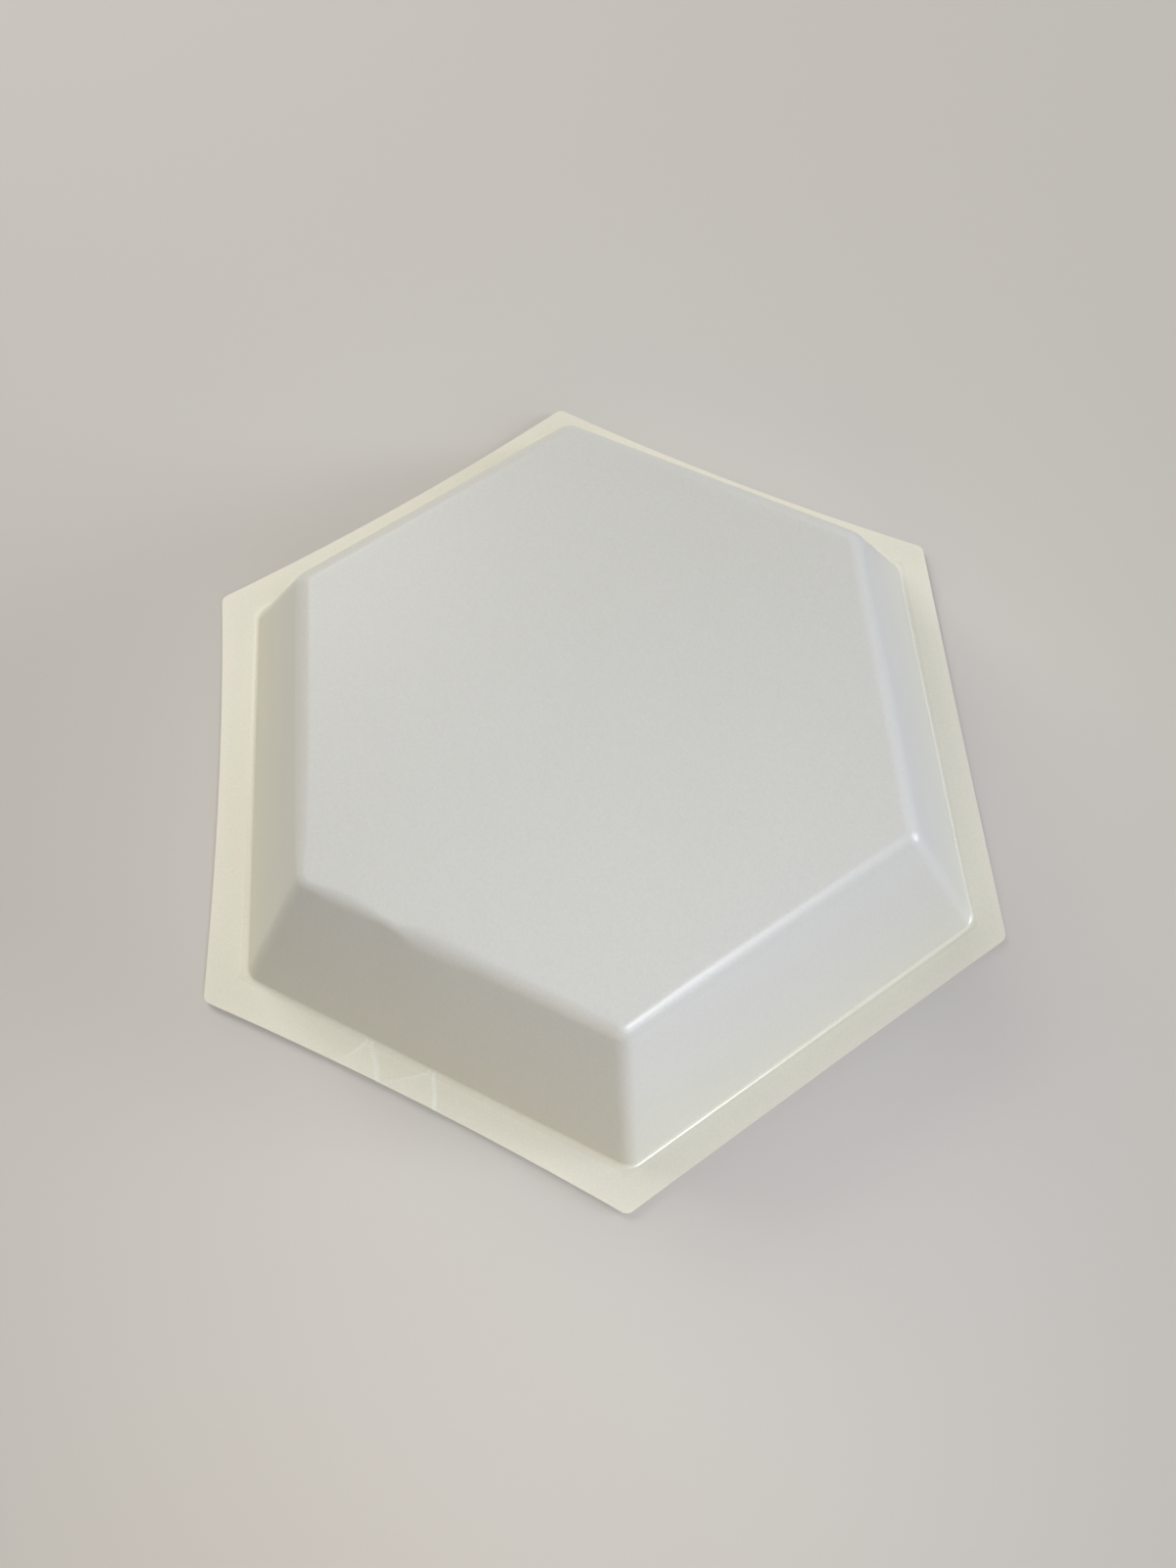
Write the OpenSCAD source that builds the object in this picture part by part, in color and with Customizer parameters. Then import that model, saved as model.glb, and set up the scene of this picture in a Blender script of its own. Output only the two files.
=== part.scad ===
// Hexagonal weighing boat, drawn from one thin sheet and lying on its rim.
// The rim rests on the table, the hollow opens downwards and the floor is on top.
// Sides and corners count anticlockwise from the front corner, which points along -Y.

/* [Floor and walls] */
// Width of the floor across its flats, measured at its sharp outer edge
floor_af = 85; // [60:0.2:110]
// Height of the boat, from the table to the outside of the floor
boat_h = 22; // [12:0.5:35]
// Lean of the walls from upright, in degrees
wall_lean = 29; // [15:0.2:40]
// Thickness of the sheet
sheet_t = 0.4; // [0.25:0.05:0.7]

/* [Rim] */
// Width of the rim, from the walls to its trimmed edge, on average
rim_w = 5.5; // [3.5:0.1:12]
// Inward bow of the two right sides of the rim at their middles
bow_right = 0.1; // [0:0.05:2]
// Inward bow of the two back sides of the rim at their middles
bow_back = 1.25; // [0:0.05:2]
// Inward bow of the two left sides of the rim at their middles
bow_left = 0.9; // [0:0.05:2]
// Shift of the walls and floor inside the trimmed rim, to the right
drawn_x = 0.8; // [-1.5:0.05:1.5]
// Shift of the walls and floor inside the trimmed rim, to the back
drawn_y = -0.35; // [-1.5:0.05:1.5]
// Turn of the walls and floor inside the trimmed rim, in degrees
drawn_turn = 0.2; // [-1:0.1:1]

/* [Roundings] */
// Radius of the rim's corners, seen from above
rim_corner_r = 1.5; // [0.5:0.1:6]
// Radius of the walls' corners at the rim, seen from above
mouth_corner_r = 3.3; // [1.5:0.1:10]
// Radius of the floor's corners, seen from above
floor_corner_r = 3; // [1:0.1:8]
// Radius of the bend along the floor's edge
floor_edge_r = 3.5; // [1:0.1:5]
// Radius of the bend from the walls into the rim
foot_r = 0.8; // [0.3:0.1:2]

/* [Dent and creases] */
// Place of the dent in the floor's front left edge, from the middle of that side
dent_at = -11.5; // [-16:0.5:8]
// Depth of the dent, inward from the straight edge
dent_depth = 0.6; // [0:0.05:1.5]
// Length of the dent, to each side of its middle
dent_reach = 4; // [2:0.5:8]
// Radius of the floor's edge in the dent
dent_edge_r = 1.8; // [1:0.1:4]
// How far the edge to the left of the dent was pushed in with it
push_depth = 0.45; // [0:0.05:1.5]
// Radius of the floor's edge where it was pushed in
push_edge_r = 2.9; // [1:0.1:5]
// Length over which that edge comes back out, right of the dent and left around the corner
push_reach = [9, 30]; // [4:1:40]
// Height of the creases in the front left side of the rim
crease_h = 0.3; // [0.1:0.05:0.6]
// Start of each crease at the foot of the wall, from the middle of that side
crease_at = [-9.8, 0.5]; // [-20:0.1:20]
// How far each crease's ridge slants along the side on its way to the edge
crease_slant = [4.3, 3.3]; // [0:0.1:6]
// Width of each crease's raised face at the rim's edge
crease_w = [6.4, 5.6]; // [3:0.1:8]

/* [Smoothness] */
// Segments in each corner, seen from above
corner_n = 5; // [3:1:8]
// Segments in each plain side
side_n = 8; // [4:1:12]
// Segments between the landmarks of the creased side
stretch_n = 5; // [3:1:8]
// Segments in the bend along the floor's edge
edge_n = 7; // [3:1:10]
// Segments in the bend from the walls into the rim
foot_n = 4; // [3:1:8]
// Segments across the rim
rim_n = 4; // [3:1:6]

/* [Hidden] */

sides = 6;
side_turn = 360 / sides;
first_normal = -side_turn;          // outward direction of side 0, the front right one
creased_side = 5;                   // the front left one
crease_foot_w = 0.4;                // width of a crease's steep face
crease_lines = 3;                   // mesh lines on a crease's raised face

bend_angle = 90 - wall_lean;        // the sheet turns by this at the floor and at the rim
half_bend = tan(bend_angle / 2);
floor_a = floor_af / 2;
mouth_a = floor_a + (boat_h - sheet_t) * tan(wall_lean);
rim_a = mouth_a + rim_w;
least_corner_r = 0.2;

// Half the straight part of a side, on a hexagon of inradius a and corner radius c
function half_side(a, c) = (a - c) * tan(side_turn / 2);

function heading(angle) = [cos(angle), sin(angle)];
function side_heading(k) = first_normal + side_turn * k;
function mix(a, b, f) = a + (b - a) * f;
function ease(f) = let (g = min(1, max(0, f))) g * g * (3 - 2 * g);

// ---- Stations: one for each mesh line, from the floor's middle out to the rim ----
// A station is [side, corner fraction or undef, place at the wall's foot, place at the
// rim's edge, share of the crease height]. Places run from -1 to 1 along the side.

function corner_stations(k) =
    [for (i = [0:corner_n]) [k, i / corner_n, -1, -1, 0]];

// Places strictly between two landmarks [foot, edge]
function stretch(k, from, to, n) =
    [for (i = [1:n - 1]) [k, undef, mix(from[0], to[0], i / n), mix(from[1], to[1], i / n), 0]];

foot_half = half_side(mouth_a, mouth_corner_r);
edge_half = half_side(rim_a, rim_corner_r);

// The mesh lines of crease i: up its raised face to the ridge, then down its steep face
function crease_stations(i) =
    let (ridge = [crease_at[i], crease_at[i] + crease_slant[i]])
    [for (j = [0:crease_lines + 1])
        let (
            steep = j > crease_lines,
            back = steep ? -crease_foot_w : (1 - j / crease_lines),
            at_foot = ridge[0] - back * (steep ? 1 : 2 * crease_foot_w),
            at_edge = ridge[1] - back * (steep ? 1 : crease_w[i])
        )
        [creased_side, undef, at_foot / foot_half, at_edge / edge_half,
            steep ? 0 : j / crease_lines]];

function place(station) = [station[2], station[3]];
first_crease = crease_stations(0);
second_crease = crease_stations(1);
crease_end = crease_lines + 1;

creased_stations = concat(
    stretch(creased_side, [-1, -1], place(first_crease[0]), 2 * stretch_n),
    first_crease,
    stretch(creased_side, place(first_crease[crease_end]), place(second_crease[0]), stretch_n),
    second_crease,
    stretch(creased_side, place(second_crease[crease_end]), [1, 1], 2 * stretch_n)
);

stations = [for (k = [0:sides - 1])
    each concat(
        corner_stations(k),
        k == creased_side ? creased_stations : stretch(k, [-1, -1], [1, 1], side_n)
    )];

// ---- Dent: how far the floor's edge is pushed in at a station, and its radius there ----

floor_half = half_side(floor_a, floor_corner_r);

// Distance along the floor's edge from the middle of the dent, less than 0 on its left
function from_dent(station) =
    let (k = station[0], s = station[2] * floor_half)
    k == creased_side ? s - dent_at
        : k == creased_side - 1 && station[1] == undef ? s - 2 * floor_half - dent_at
        : undef;

// 1 in the middle of the dent and 0 at its ends
function dented(station) =
    let (t = from_dent(station))
    t == undef ? 0 : 1 - ease(abs(t) / dent_reach);

// 1 beside the dent, fading out to the right of it and around the corner on its left
function pushed(station) =
    let (t = from_dent(station))
    t == undef ? 0 : 1 - ease(t > 0 ? t / push_reach[0] : -t / push_reach[1]);

function push_in(station) = mix(push_depth * pushed(station), dent_depth, dented(station));

function edge_r(station) =
    mix(mix(floor_edge_r, push_edge_r, pushed(station)), dent_edge_r, dented(station));

// ---- Plan: where a station lies on a rounded hexagon ----

// Inradius a, corner radius c, inward bow b; at is the place along a side
function plan(station, a, c, b, at) =
    let (k = station[0], f = station[1], out = side_heading(k))
    f == undef
        ? (a - b * (1 - at * at)) * heading(out) + at * half_side(a, c) * heading(out + 90)
        : (a - c) / cos(side_turn / 2) * heading(out - side_turn / 2)
            + c * heading(out - side_turn * (1 - f));

function turned(p, angle) =
    [p[0] * cos(angle) - p[1] * sin(angle), p[0] * sin(angle) + p[1] * cos(angle)];

// A point of the walls or floor: what the dent pushed in leans inward from its foot up
function drawn_point(station, a, c, z) =
    let (
        push = push_in(station) * z / boat_h * heading(side_heading(creased_side)),
        p = turned(plan(station, a, c, 0, station[2]) - push, drawn_turn) + [drawn_x, drawn_y]
    )
    [p[0], p[1], z];

function rim_bow(k) = k < 2 ? bow_right : k < 4 ? bow_back : bow_left;

function rim_point(station, z) =
    let (p = plan(station, rim_a, rim_corner_r, rim_bow(station[0]), station[3]))
    [p[0], p[1], z];

// ---- Section: [inradius, height] along a station, skin 0 outside and 1 inside ----

// The bend at the floor's edge, f from 0 on the floor to 1 on the wall
function floor_bend(station, f, skin) =
    let (
        r = edge_r(station) - skin * sheet_t,
        a = floor_a - skin * sheet_t * half_bend,
        turn = bend_angle * f
    )
    [a - r * half_bend + r * sin(turn), boat_h - skin * sheet_t - r * (1 - cos(turn))];

// The bend at the foot of the wall, f from 0 on the wall to 1 on the rim
function foot_bend(f, skin) =
    let (
        r = foot_r + skin * sheet_t,
        a = mouth_a - skin * sheet_t * half_bend,
        turn = bend_angle * (1 - f)
    )
    [a + r * half_bend - r * sin(turn), sheet_t * (1 - skin) + r * (1 - cos(turn))];

// Corner radius at a height of the walls, seen from above
function corner_r(z) = mix(mouth_corner_r, floor_corner_r, min(1, max(0, z / boat_h)));

function section_point(station, az, inset) =
    drawn_point(station, az[0], max(least_corner_r, corner_r(az[1]) - inset), az[1]);

function floor_point(station, f, skin) =
    let (az = floor_bend(station, f, skin))
    section_point(station, az, max(0, floor_a - az[0]));

function foot_point(station, f, skin) = section_point(station, foot_bend(f, skin), 0);

// A point of the rim, v from 0 at the end of the bend to 1 at the trimmed edge
function flange_point(station, v, skin) =
    let (
        p = mix(foot_point(station, 1, skin), rim_point(station, sheet_t * (1 - skin)), v),
        rise = crease_h * station[4] * sin(90 * v)
    )
    [p[0], p[1], p[2] + rise];

// One skin's points along a station, from the floor to the rim's edge
function skin_line(station, skin) = concat(
    [for (i = [0:edge_n]) floor_point(station, i / edge_n, skin)],
    [for (i = [0:foot_n]) foot_point(station, i / foot_n, skin)],
    [for (i = [1:rim_n]) flange_point(station, i / rim_n, skin)]
);

// Both skins as one closed line: out over the outer skin and back along the inner one
function section_line(station) =
    let (outer = skin_line(station, 0), inner = skin_line(station, 1))
    concat(outer, [for (i = [len(inner) - 1:-1:0]) inner[i]]);

module boat() {
    lines = [for (s = stations) section_line(s)];
    n = len(lines);
    m = len(lines[0]);
    outer_middle = n * m;
    inner_middle = outer_middle + 1;
    points = concat(
        [for (line = lines) each line],
        [[drawn_x, drawn_y, boat_h], [drawn_x, drawn_y, boat_h - sheet_t]]
    );
    faces = concat(
        [for (j = [0:n - 1], i = [0:m - 2])
            let (a = j * m + i, b = ((j + 1) % n) * m + i)
            each [[a, b, b + 1], [a, b + 1, a + 1]]],
        [for (j = [0:n - 1]) [outer_middle, ((j + 1) % n) * m, j * m]],
        [for (j = [0:n - 1]) [inner_middle, j * m + m - 1, ((j + 1) % n) * m + m - 1]]
    );
    color([0.84, 0.84, 0.80]) polyhedron(points, faces, convexity = 6);
}

boat();
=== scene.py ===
"""Hexagonal weighing boat, lying upside down on its rim. The sheet is shaped in
millimetres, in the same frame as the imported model, and then brought to metres."""

import math

import bmesh
import bpy
from mathutils import Euler, Matrix, Vector


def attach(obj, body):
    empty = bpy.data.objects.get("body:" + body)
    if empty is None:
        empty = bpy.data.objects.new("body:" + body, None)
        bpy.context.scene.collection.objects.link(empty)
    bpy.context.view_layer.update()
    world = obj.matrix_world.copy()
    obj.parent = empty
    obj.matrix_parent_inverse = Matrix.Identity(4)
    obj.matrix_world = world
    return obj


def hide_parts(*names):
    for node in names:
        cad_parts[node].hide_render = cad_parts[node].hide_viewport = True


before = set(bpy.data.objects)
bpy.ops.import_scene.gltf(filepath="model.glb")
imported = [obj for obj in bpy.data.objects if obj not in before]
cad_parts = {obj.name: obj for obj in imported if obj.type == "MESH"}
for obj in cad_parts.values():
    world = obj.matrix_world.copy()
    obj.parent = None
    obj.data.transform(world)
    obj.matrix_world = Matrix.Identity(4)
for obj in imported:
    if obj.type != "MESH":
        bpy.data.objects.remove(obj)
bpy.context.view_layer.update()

MM = 0.001

# ---- Sizes of the boat, in millimetres ----
# Corners and sides count anticlockwise, seen from above: corner 0 points along -Y, and side 0
# runs from it to corner 1.

SIDES = 6
SIDE_TURN = math.radians(60)
SHEET_T = 0.4
BOAT_H = 22.0
FLOOR_A = 42.5                              # inradius of the floor, at its sharp edge
WALL_LEAN = math.radians(29)
MOUTH_A = FLOOR_A + (BOAT_H - SHEET_T) * math.tan(WALL_LEAN)
RIM_W = 5.5
RIM_A = MOUTH_A + RIM_W
RIM_BOWS = (0.1, 0.1, 1.25, 1.25, 0.9, 0.9)  # inward, at the middle of each side
DRAWN_SHIFT = Vector((0.8, -0.35, 0))       # of the walls and floor inside the trimmed rim
DRAWN_TURN = math.radians(0.2)
RIM_CORNER_R = 1.5
WALL_CORNER_R = 2.6
FLOOR_EDGE_R = 3.5                          # of the bend from the floor to the walls
FOOT_R = 0.9                                # of the bend from the walls to the rim
FOOT_SHARES = (1, 0.4, 1, 1, 0.8, 1)        # of FOOT_R, by side
FOOT_BLEND = 6                              # from a corner to where a side has its full share
BEND = math.pi / 2 - WALL_LEAN              # the sheet turns by this at the floor and at the foot
HALF_BEND = math.tan(BEND / 2)

# How far each corner of the walls has moved, in X and Y: at its foot, and at the floor
CORNER_DRIFTS = {
    0: ((-0.25, 0.1), (0, 0.35)),
    1: ((0, -0.3), (0, -0.3)),
    4: ((0.25, 0.15), (0, 0)),
    5: ((0.1, 0.4), (0.45, 0.3)),
}
NO_DRIFT = ((0, 0), (0, 0))

# The floor's edge on the creased side and round its two corners: the place along the edge from
# that side's middle, how far in the edge is pushed, and the radius of its bend
CREASED = 5                                 # the front left side
FLOOR_EDGE = (
    (-62, 0, 3.5),
    (-40, 0.1, 3.3),
    (-28, 0.1, 2.6),
    (-23, 0.15, 1.7),
    (-18, 0.2, 2.5),
    (-14, 0.22, 2.1),
    (-11.5, 0.25, 1.4),
    (-9.5, 0.05, 1.5),
    (-6, -0.15, 3.4),
    (-2, -0.2, 3.7),
    (3, 0.02, 3.0),
    (10, 0.1, 2.9),
    (22, 0.08, 2.8),
    (34, 0, 3.5),
)

# Two creases across the rim: start, slant, bow of the ridge, and width of the raised face
CREASES = (
    (-9.8, 4.3, 0.3, 7.0),
    (0.5, 3.3, 0.15, 9.0),
)
CREASE_H, CREASE_STEEP_W = 0.3, 0.4
FOLD_W = 0.2                                # of the plastic that whitens along a fold, with a painted highlight there
FOLD_SHARE, FACE_LIGHT_SHARE = 0.8, 0.16          # of the ridge's whitening and painted highlight: other fold, and painted light on the raised face
FOLD_REACH = 0.2                            # how far up the bend the whitening and painted light go

# ---- Fineness of the mesh ----

CORNER_N, EDGE_N, FOOT_N = 8, 14, 6
RIM_CUTS, WALL_CUTS = 12, 7
PLAIN_CUTS, CREASED_CUTS = 24, 220
FLOOR_RING = 0.2                            # flat ring that keeps the floor's shading level
SLACK = 1.01                                # widens a limit, so that what lies on it is in
PARALLEL = 0.99                             # least dot product of two parallel directions
CRISP_ANGLE = math.radians(40)              # an edge that turns more is shaded sharp


def heading(angle):
    return Vector((math.cos(angle), math.sin(angle), 0))


def side_out(side):
    return heading(SIDE_TURN * (side - 1))


def side_along(side):
    return heading(SIDE_TURN * (side - 1) + math.pi / 2)


def ease(share):
    share = min(1, max(0, share))
    return share * share * (3 - 2 * share)


def mix(low, high, share):
    return low + (high - low) * share


def tangent(corner_r):
    """What a rounded corner of the hexagon takes from each of its sides."""
    return corner_r * math.tan(SIDE_TURN / 2)


# ---- The sheet's outside, as one open skin ----

def new_verts(made):
    return [part for part in made["geom"] if isinstance(part, bmesh.types.BMVert)]


def edges_within(skin, verts):
    chosen = set(verts)
    return [edge for edge in skin.edges if set(edge.verts) <= chosen]


def drop(edge):
    return abs(edge.verts[0].co.z - edge.verts[1].co.z)


def largest_face(skin):
    return max(skin.faces, key=lambda face: face.calc_area())


def round_edges(skin, edges, offset, segments, offset_type="OFFSET"):
    bmesh.ops.bevel(
        skin, geom=edges, offset=offset, offset_type=offset_type, segments=segments,
        profile=0.5, material=-1, affect="EDGES")


def draw_walls(skin):
    """A hexagonal frustum, open at its mouth, with its uprights and floor's edge rounded."""
    mouth = bmesh.ops.create_circle(
        skin, cap_ends=False, segments=SIDES, radius=MOUTH_A / math.cos(SIDE_TURN / 2))["verts"]
    bmesh.ops.translate(skin, vec=(0, 0, SHEET_T), verts=mouth)
    top = new_verts(bmesh.ops.extrude_edge_only(skin, edges=edges_within(skin, mouth)))
    narrowing = FLOOR_A / MOUTH_A
    bmesh.ops.scale(skin, vec=(narrowing, narrowing, 1), verts=top)
    bmesh.ops.translate(skin, vec=(0, 0, BOAT_H - SHEET_T), verts=top)
    bmesh.ops.contextual_create(skin, geom=edges_within(skin, top))
    uprights = [e for e in skin.edges if drop(e) > SHEET_T]
    round_edges(skin, uprights, tangent(WALL_CORNER_R), CORNER_N, offset_type="ABSOLUTE")
    round_edges(skin, list(largest_face(skin).edges), FLOOR_EDGE_R * HALF_BEND, EDGE_N)
    bmesh.ops.subdivide_edges(
        skin, edges=[e for e in skin.edges if drop(e) > BOAT_H / 2],
        cuts=WALL_CUTS, use_grid_fill=True)


def corner_centre(corner, inradius, corner_r):
    return heading(SIDE_TURN * (corner - 1.5)) * (inradius - corner_r) / math.cos(SIDE_TURN / 2)


def spread_corners(verts, start, end):
    """Moves a ring from one rounded hexagon to another; each is (inradius, corner radius)."""
    for vert in verts:
        corner = max(range(SIDES), key=lambda c: vert.co.dot(corner_centre(c, *start)))
        spoke = vert.co - corner_centre(corner, *start)
        spoke.z = 0
        place = corner_centre(corner, *end) + spoke * end[1] / start[1]
        vert.co = Vector((place.x, place.y, vert.co.z))


def join_rim(skin):
    """The rim: spread outward from the mouth to the trim line, and the bend between them."""
    mouth = [e for e in skin.edges if e.is_boundary]
    outline = new_verts(bmesh.ops.extrude_edge_only(skin, edges=mouth))
    spread_corners(outline, (MOUTH_A, WALL_CORNER_R), (RIM_A, RIM_CORNER_R))
    bmesh.ops.translate(skin, vec=-DRAWN_SHIFT, verts=outline)
    bmesh.ops.rotate(
        skin, cent=(0, 0, 0), matrix=Matrix.Rotation(-DRAWN_TURN, 3, "Z"), verts=outline)
    round_edges(skin, mouth, FOOT_R * HALF_BEND, FOOT_N)
    across = [e for e in skin.edges if not e.is_boundary
              and sum(v.is_boundary for v in e.verts) == 1]
    bmesh.ops.subdivide_edges(skin, edges=across, cuts=RIM_CUTS, use_grid_fill=True)


def side_of(point):
    """Side of the hexagon that a point lies towards."""
    return max(range(SIDES), key=lambda side: point.dot(side_out(side)))


def refine_sides(skin):
    """Mesh lines from the floor to the rim's edge along each side, closest on the creased one."""
    long_edges = {side: [] for side in range(SIDES)}
    for edge in skin.edges:
        run = edge.verts[1].co - edge.verts[0].co
        side = side_of((edge.verts[0].co + edge.verts[1].co) / 2)
        if run.length > FLOOR_A / 2 and abs(run.normalized().dot(side_along(side))) > PARALLEL:
            long_edges[side].append(edge)
    for side, edges in long_edges.items():
        cuts = CREASED_CUTS if side == CREASED else PLAIN_CUTS
        bmesh.ops.subdivide_edges(skin, edges=edges, cuts=cuts, use_grid_fill=True)
    bmesh.ops.inset_region(
        skin, faces=[largest_face(skin)], thickness=FLOOR_RING, use_even_offset=True)


# ---- Where the drawn sheet leaves the plain hexagon: floor's edge, foot and corners ----

def from_edge(point):
    """Place along the floor's edge, from the middle of the creased side, the way out of the
    edge and the distance beyond it; nothing on the far sides."""
    side = side_of(point)
    turn = (side - CREASED + 1) % SIDES - 1
    if turn > 1:
        return None
    half = (FLOOR_A - WALL_CORNER_R) * math.tan(SIDE_TURN / 2)
    out, along = side_out(side), point.dot(side_along(side))
    if abs(along) <= half:
        return turn * 2 * half + along, out, point.dot(out) - FLOOR_A
    spoke = point - corner_centre(side + (along > 0), FLOOR_A, WALL_CORNER_R)
    spoke.z = 0
    along = math.copysign(half, along)
    return turn * 2 * half + along, spoke.normalized(), spoke.length - WALL_CORNER_R


def settled_edge(along):
    """Push and bend radius of the floor's edge at a place along it."""
    for (start, *low), (end, *high) in zip(FLOOR_EDGE, FLOOR_EDGE[1:]):
        if start <= along <= end:
            return [mix(*pair, ease((along - start) / (end - start))) for pair in zip(low, high)]
    return 0, FLOOR_EDGE_R


def dent_floor_edge(skin):
    """Gives the floor's edge its bend radius, place by place, and pushes it in or out."""
    run = FLOOR_EDGE_R * HALF_BEND
    for vert in skin.verts:
        place = from_edge(vert.co)
        if vert.co.z < SHEET_T * 2 or place is None:
            continue
        along, out, beyond = place
        push, edge_r = settled_edge(along)
        tighter = 1 - edge_r / FLOOR_EDGE_R
        if abs(beyond) <= run * SLACK and vert.co.z > BOAT_H - run:
            vert.co -= out * beyond * tighter
            vert.co.z += (BOAT_H - vert.co.z) * tighter
        elif vert.co.z > BOAT_H - SHEET_T:
            vert.co += out * run * tighter
        vert.co -= side_out(CREASED) * push * vert.co.z / BOAT_H


def tighten_foot(skin):
    """Draws the bend at the foot of the walls tighter on the sides that have a share."""
    run = FOOT_R * HALF_BEND
    for vert in skin.verts:
        side = side_of(vert.co)
        out = side_out(side)
        beyond = vert.co.dot(out) - MOUTH_A
        if vert.co.z > SHEET_T + run or abs(beyond) > run * SLACK:
            continue
        half = MOUTH_A * math.tan(SIDE_TURN / 2)
        from_corner = half - abs(vert.co.dot(side_along(side)))
        tighter = (1 - FOOT_SHARES[side]) * ease(from_corner / FOOT_BLEND)
        vert.co -= out * beyond * tighter
        vert.co.z -= (vert.co.z - SHEET_T) * tighter


def rim_share(point):
    """From 0 at the foot of the wall to 1 at the straight trim line, for a point of the rim."""
    side = side_of(point)
    foot_line = MOUTH_A + FOOT_R * HALF_BEND
    drawn = point - DRAWN_SHIFT
    beyond = max(0, drawn.dot(side_out(side)) - foot_line)
    return beyond / (beyond + RIM_A - point.dot(side_out(side)))


def settle_corners(skin):
    """Moves the corners of the walls by their drifts, and the walls between them with them."""
    for vert in skin.verts:
        side = side_of(vert.co)
        half = vert.co.dot(side_out(side)) * math.tan(SIDE_TURN / 2)
        along = 0.5 + vert.co.dot(side_along(side)) / (2 * half)
        height = (vert.co.z - SHEET_T) / (BOAT_H - SHEET_T)
        move = Vector((0, 0, 0))
        for corner, part in ((side, 1 - along), ((side + 1) % SIDES, along)):
            foot, top = (Vector((*drift, 0)) for drift in CORNER_DRIFTS.get(corner, NO_DRIFT))
            move += foot.lerp(top, height) * part
        vert.co += move * (1 - rim_share(vert.co))


# ---- Rim: its trimmed sides bow inward, and two creases cross its front left side ----

def near(distance, width):
    """From 1 at no distance down to 0, over about two widths."""
    return math.exp(-(distance / width) ** 2)


def crease_at(along, share, crease):
    """Rise of the rim at a crease, and how far the sheet is lightened there: most on the ridge
    and less on the other fold, by whitening from bending plus a painted highlight; on the raised
    face between them, by painted light."""
    start, slant, bow, width = crease
    foot = start + DRAWN_SHIFT.dot(side_along(CREASED))
    ridge = mix(foot, start + slant, share) + bow * 4 * share * (1 - share)
    face = mix(2 * CREASE_STEEP_W, width, share)
    before = ridge - along
    up_face = 1 - (before / face if before >= 0 else -before / CREASE_STEEP_W)
    rise = CREASE_H * math.sin(math.pi / 2 * share) * max(0, up_face)
    lit_face = ease((face - before) / FOLD_W) if before > 0 else 0
    other_fold = near(before - face, FOLD_W) * (1 - share * share)
    return rise, max(near(before, FOLD_W), other_fold * FOLD_SHARE, lit_face * FACE_LIGHT_SHARE)


def shape_rim(skin, fold_layer):
    """Bows the rim's sides, raises the creases and marks where the sheet whitens along its folds
    and where light is painted on them.
    """
    half = RIM_A * math.tan(SIDE_TURN / 2)
    for vert in skin.verts:
        if vert.co.z > SHEET_T + FOOT_R:
            continue
        side, share = side_of(vert.co), rim_share(vert.co)
        along = vert.co.dot(side_along(side))
        bow = RIM_BOWS[side] * (1 - (along / half) ** 2) * share
        in_rim = 1 - ease((vert.co.z - SHEET_T) / FOLD_REACH)
        if side == CREASED:
            for crease in CREASES:
                rise, whitening_and_light = crease_at(along, share, crease)
                vert.co.z += rise
                vert[fold_layer] = max(vert[fold_layer], whitening_and_light * in_rim)
        vert.co -= side_out(side) * bow


def build_boat():
    skin = bmesh.new()
    draw_walls(skin)
    join_rim(skin)
    refine_sides(skin)
    dent_floor_edge(skin)
    tighten_foot(skin)
    bmesh.ops.rotate(
        skin, cent=(0, 0, 0), matrix=Matrix.Rotation(DRAWN_TURN, 3, "Z"), verts=skin.verts)
    bmesh.ops.translate(skin, vec=DRAWN_SHIFT, verts=skin.verts)
    fold_layer = skin.verts.layers.float.new("fold")
    trim_layer = skin.verts.layers.float.new("trim")
    for vert in skin.verts:
        if vert.co.z < SHEET_T * SLACK:
            vert[trim_layer] = rim_share(vert.co)
    settle_corners(skin)
    shape_rim(skin, fold_layer)
    bmesh.ops.recalc_face_normals(skin, faces=skin.faces)
    if largest_face(skin).normal.z < 0:
        bmesh.ops.reverse_faces(skin, faces=skin.faces)
    bmesh.ops.solidify(skin, geom=skin.faces, thickness=SHEET_T)
    for vert in skin.verts:
        vert.co.z = max(0, vert.co.z)
    for edge in skin.edges:
        edge.smooth = edge.calc_face_angle(0) < CRISP_ANGLE
    for face in skin.faces:
        face.smooth = True
    bmesh.ops.scale(skin, vec=(MM, MM, MM), verts=skin.verts)
    mesh = bpy.data.meshes.new("weighing_boat")
    skin.to_mesh(mesh)
    skin.free()
    boat = bpy.data.objects.new("weighing_boat", mesh)
    bpy.context.collection.objects.link(boat)
    return boat


boat = build_boat()
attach(boat, "root")
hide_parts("boat")


# ---- Sheet material ----

def node(tree, kind, **sockets):
    made = tree.nodes.new(kind)
    for name, value in sockets.items():
        made.inputs[name.replace("_", " ")].default_value = value
    return made


def carried(tree, source, span, new_span=(0, 1), smooth=False):
    """Carries a value from one span to another, and holds it at the ends."""
    made = node(tree, "ShaderNodeMapRange", From_Min=span[0], From_Max=span[1],
                To_Min=new_span[0], To_Max=new_span[1])
    made.interpolation_type = "SMOOTHSTEP" if smooth else "LINEAR"
    tree.links.new(source, made.inputs["Value"])
    return made.outputs["Result"]


def joined(tree, how, first, second):
    """One value from two: their product, or the larger of them."""
    made = tree.nodes.new("ShaderNodeMath")
    made.operation = how
    tree.links.new(first, made.inputs[0])
    tree.links.new(second, made.inputs[1])
    return made.outputs["Value"]


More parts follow.
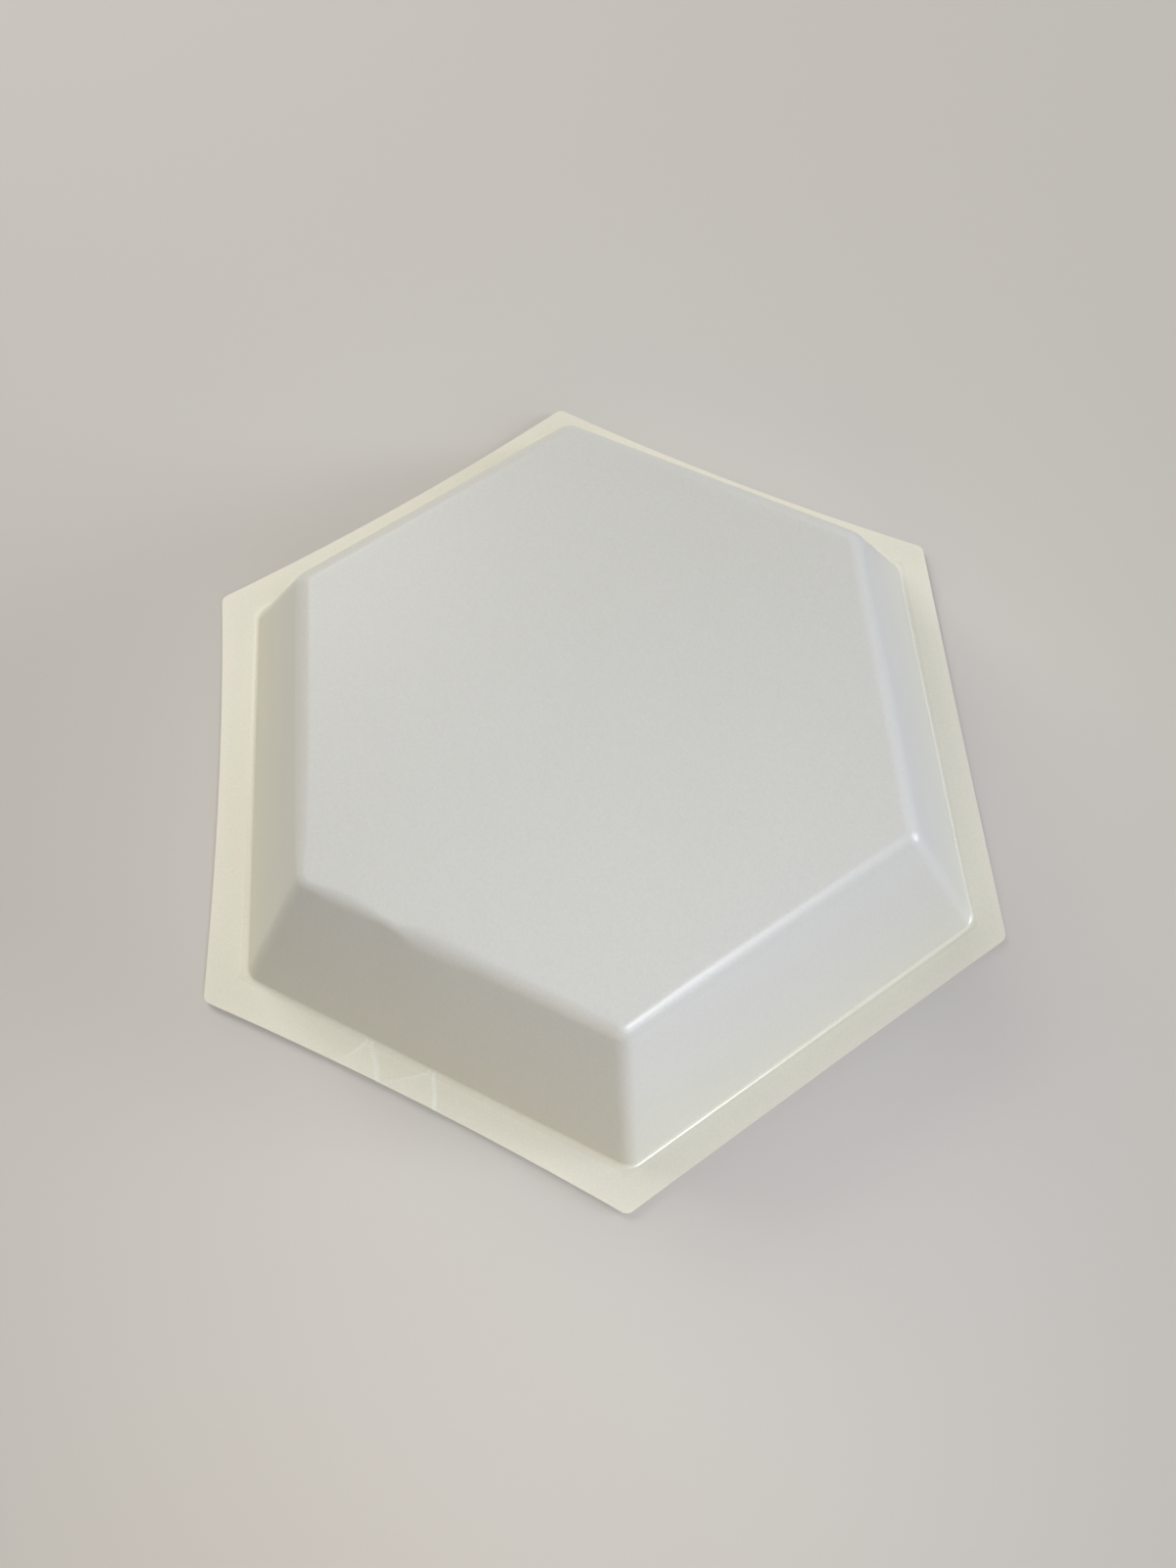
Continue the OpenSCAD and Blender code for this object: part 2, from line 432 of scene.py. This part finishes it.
def tint(tree, share, first, second):
    """Colour that goes from the first to the second as share goes from 0 to 1."""
    made = tree.nodes.new("ShaderNodeMix")
    made.data_type = "RGBA"
    tree.links.new(share, made.inputs["Factor"])
    for socket, value in ((made.inputs["A"], first), (made.inputs["B"], second)):
        if isinstance(value, bpy.types.NodeSocket):
            tree.links.new(value, socket)
        else:
            socket.default_value = value
    return made.outputs["Result"]


def shade(tree, colour, brightness):
    made = tree.nodes.new("ShaderNodeVectorMath")
    made.operation = "SCALE"
    tree.links.new(colour, made.inputs[0])
    tree.links.new(brightness, made.inputs["Scale"])
    return made.outputs["Vector"]


def attribute(tree, name):
    """A value that the mesh carries at its vertices."""
    made = tree.nodes.new("ShaderNodeAttribute")
    made.attribute_name = name
    return made.outputs["Fac"]


def noise(tree, place, per_metre, detail):
    made = node(tree, "ShaderNodeTexNoise", Scale=per_metre, Detail=detail)
    tree.links.new(place, made.inputs["Vector"])
    return made.outputs["Fac"]


# Colours, and where one gives way to the next, in metres above the table
THIN_COLOUR = (0.590, 0.599, 0.582, 1)      # where the sheet is drawn thin, high on the walls
FULL_COLOUR = (0.612, 0.612, 0.552, 1)      # at full gauge, by the foot of the walls: the thicker sheet is yellower, with painted warm light added
RIM_COLOUR = (0.712, 0.706, 0.612, 1)
TRIM_HIGHLIGHT_COLOUR = (0.735, 0.718, 0.631, 1)      # painted highlight along the cut edge
FOLD_COLOUR = (0.83, 0.85, 0.77, 1)         # stress whitening on the folds, with a painted highlight there and painted light on the raised faces
GAUGE_Z = (0.001, 0.0185)                   # from full gauge with painted warm light, to thin
RIM_Z = (0.0009, 0.0005)                    # the rim's colour runs up into the bend
RIM_STARTS = (0, 0.08)                      # and this share of the rim's width across it
TRIM_HIGHLIGHT_STARTS = (0.5, 1)                      # share of the width over which the painted highlight comes in

# Finish: faint clouds, and a fine satin grain in the colour, the roughness and the height
CLOUDS_PER_METRE, CLOUD_DETAIL = 70, 3
CLOUD_SPAN, CLOUD_SHADES = (0.3, 0.7), (0.995, 1.005)
SATIN_PER_METRE, SATIN_DETAIL = 3200, 2
SATIN_SPAN, SATIN_SHADES = (0.25, 0.75), (0.965, 1.035)
SATIN_ROUGHNESS = (0.31, 0.37)
SATIN_HEIGHT = 0.000004
FOOT_GLOSS_Z, FOOT_GLOSS = (0.0011, 0.0008), 0.72  # the sheet is pressed smooth in the bend

sheet = bpy.data.materials.new("drawn_polystyrene")
sheet.use_nodes = True
tree = sheet.node_tree
shader = tree.nodes["Principled BSDF"]
place = tree.nodes.new("ShaderNodeTexCoord").outputs["Object"]
height = tree.nodes.new("ShaderNodeSeparateXYZ")
tree.links.new(place, height.inputs["Vector"])
rise = height.outputs["Z"]
trim = attribute(tree, "trim")
fold = attribute(tree, "fold")

across_rim = carried(tree, trim, RIM_STARTS)
on_rim = joined(tree, "MAXIMUM", across_rim, carried(tree, rise, RIM_Z))
trim_highlight = carried(tree, trim, TRIM_HIGHLIGHT_STARTS, smooth=True)
# walls: from full gauge at the foot, yellower and with painted warm light, to thin sheet high up
colour = tint(tree, carried(tree, rise, GAUGE_Z), FULL_COLOUR, THIN_COLOUR)
# the rim lightens towards its cut edge: a painted highlight
colour = tint(tree, on_rim, colour, tint(tree, trim_highlight, RIM_COLOUR, TRIM_HIGHLIGHT_COLOUR))
# folds: stress whitening with a painted highlight, and painted light on the raised faces
colour = tint(tree, fold, colour, FOLD_COLOUR)

clouds = noise(tree, place, CLOUDS_PER_METRE, CLOUD_DETAIL)
satin = noise(tree, place, SATIN_PER_METRE, SATIN_DETAIL)
shades = joined(tree, "MULTIPLY", carried(tree, clouds, CLOUD_SPAN, CLOUD_SHADES),
                carried(tree, satin, SATIN_SPAN, SATIN_SHADES))
tree.links.new(shade(tree, colour, shades), shader.inputs["Base Color"])

gloss = carried(tree, rise, FOOT_GLOSS_Z, (1, FOOT_GLOSS))
gloss = joined(tree, "MAXIMUM", gloss, across_rim)
roughness = carried(tree, satin, SATIN_SPAN, SATIN_ROUGHNESS)
tree.links.new(joined(tree, "MULTIPLY", roughness, gloss), shader.inputs["Roughness"])

bump = node(tree, "ShaderNodeBump", Strength=1, Distance=SATIN_HEIGHT)
tree.links.new(satin, bump.inputs["Height"])
tree.links.new(bump.outputs["Normal"], shader.inputs["Normal"])
boat.data.materials.append(sheet)


# ---- Floor ----

TABLE_HALF = 1
TABLE_Z = -0.0005                           # the rim stands on the tops of its grain
TABLE_COLOUR = (0.565, 0.55, 0.53, 1)
TABLE_ROUGHNESS = 0.9

table_top = bpy.data.meshes.new("table_top")
plane = bmesh.new()
bmesh.ops.create_grid(plane, x_segments=1, y_segments=1, size=TABLE_HALF)
bmesh.ops.translate(plane, vec=(0, 0, TABLE_Z), verts=plane.verts)
plane.to_mesh(table_top)
plane.free()
table = bpy.data.objects.new("table_top", table_top)
bpy.context.collection.objects.link(table)
pale = bpy.data.materials.new("pale_table")
pale.use_nodes = True
surface = pale.node_tree.nodes["Principled BSDF"]
surface.inputs["Base Color"].default_value = TABLE_COLOUR
surface.inputs["Roughness"].default_value = TABLE_ROUGHNESS
table_top.materials.append(pale)


# ---- Lamps ----

MIDDLE, FRONT_CORNER = (0, 0, 0), (0, -0.049, 0.015)
BOTH, NO_SHEEN, SHEEN_ONLY = "both", "no_sheen", "sheen_only"  # what a lamp gives the sheet

# Name, aim, azimuth, elevation, distance, size, power, spread, colour, and what it gives
LAMPS = (
    ("key_lamp", MIDDLE, -52, 62, 2.2, 0.4, 20, 180, (1, 0.985, 0.975), BOTH),
    ("right_lamp", MIDDLE, -4, 15, 1.5, 0.45, 11.2, 180, (0.85, 0.89, 0.98), BOTH),
    ("right_card", MIDDLE, 38, 28, 1.5, 1.3, 5.9, 180, (0.96, 0.93, 1), SHEEN_ONLY),
    ("front_card", MIDDLE, -28, 45, 1.5, 0.9, 2.5, 180, (0.97, 0.96, 1), SHEEN_ONLY),
    ("back_left_lamp", MIDDLE, 128, 20, 1.7, 1.1, 19.4, 180, (1, 0.95, 0.825), NO_SHEEN),
    ("high_back_lamp", MIDDLE, 118, 46, 0.6, 0.25, 0.84, 180, (1, 0.98, 0.95), BOTH),
    ("front_lamp", FRONT_CORNER, -58, 52, 0.2, 0.1, 0.0212, 66, (0.63, 0.75, 1), BOTH),
    ("low_front_lamp", FRONT_CORNER, -110, 30, 0.2, 0.1, 0.0163, 80, (1, 0.73, 0.22), BOTH),
)
WORLD_COLOUR, WORLD_STRENGTH = (1, 0.8, 0.6, 1), 0.04


def hang_lamp(name, aim, azimuth, elevation, distance, size, power, spread, colour, gives):
    """A square soft lamp that faces the aim; azimuth 0 is +X, and 90 is +Y."""
    light = bpy.data.lights.new(name, "AREA")
    light.size, light.energy, light.color = size, power, colour
    light.spread = math.radians(spread)
    holder = bpy.data.objects.new(name, light)
    rise, turn = math.radians(elevation), math.radians(azimuth)
    way = Vector((math.cos(rise) * math.cos(turn), math.cos(rise) * math.sin(turn),
                  math.sin(rise)))
    holder.location = Vector(aim) + way * distance
    holder.rotation_euler = (-way).to_track_quat("-Z", "Y").to_euler()
    holder.visible_camera = False
    holder.visible_diffuse = gives != SHEEN_ONLY
    holder.visible_glossy = gives != NO_SHEEN
    bpy.context.collection.objects.link(holder)


for setting in LAMPS:
    hang_lamp(*setting)

scene = bpy.context.scene
world = bpy.data.worlds.new("studio")
world.use_nodes = True
background = world.node_tree.nodes["Background"]
background.inputs["Color"].default_value = WORLD_COLOUR
background.inputs["Strength"].default_value = WORLD_STRENGTH
scene.world = world


# ---- Camera ----

LENS, SENSOR_W = 27.783, 36
EYE_PLACE = Vector((-3.54, -78.17, 177.26)) * MM
EYE_TURNS = tuple(math.radians(turn) for turn in (22.586, 0.834, -4.335))

eye = bpy.data.cameras.new("eye")
eye.lens, eye.sensor_width = LENS, SENSOR_W
camera = bpy.data.objects.new("eye", eye)
camera.location = EYE_PLACE
camera.rotation_euler = Euler(EYE_TURNS, "XYZ")
bpy.context.collection.objects.link(camera)
scene.camera = camera
scene.view_settings.view_transform = "Standard"
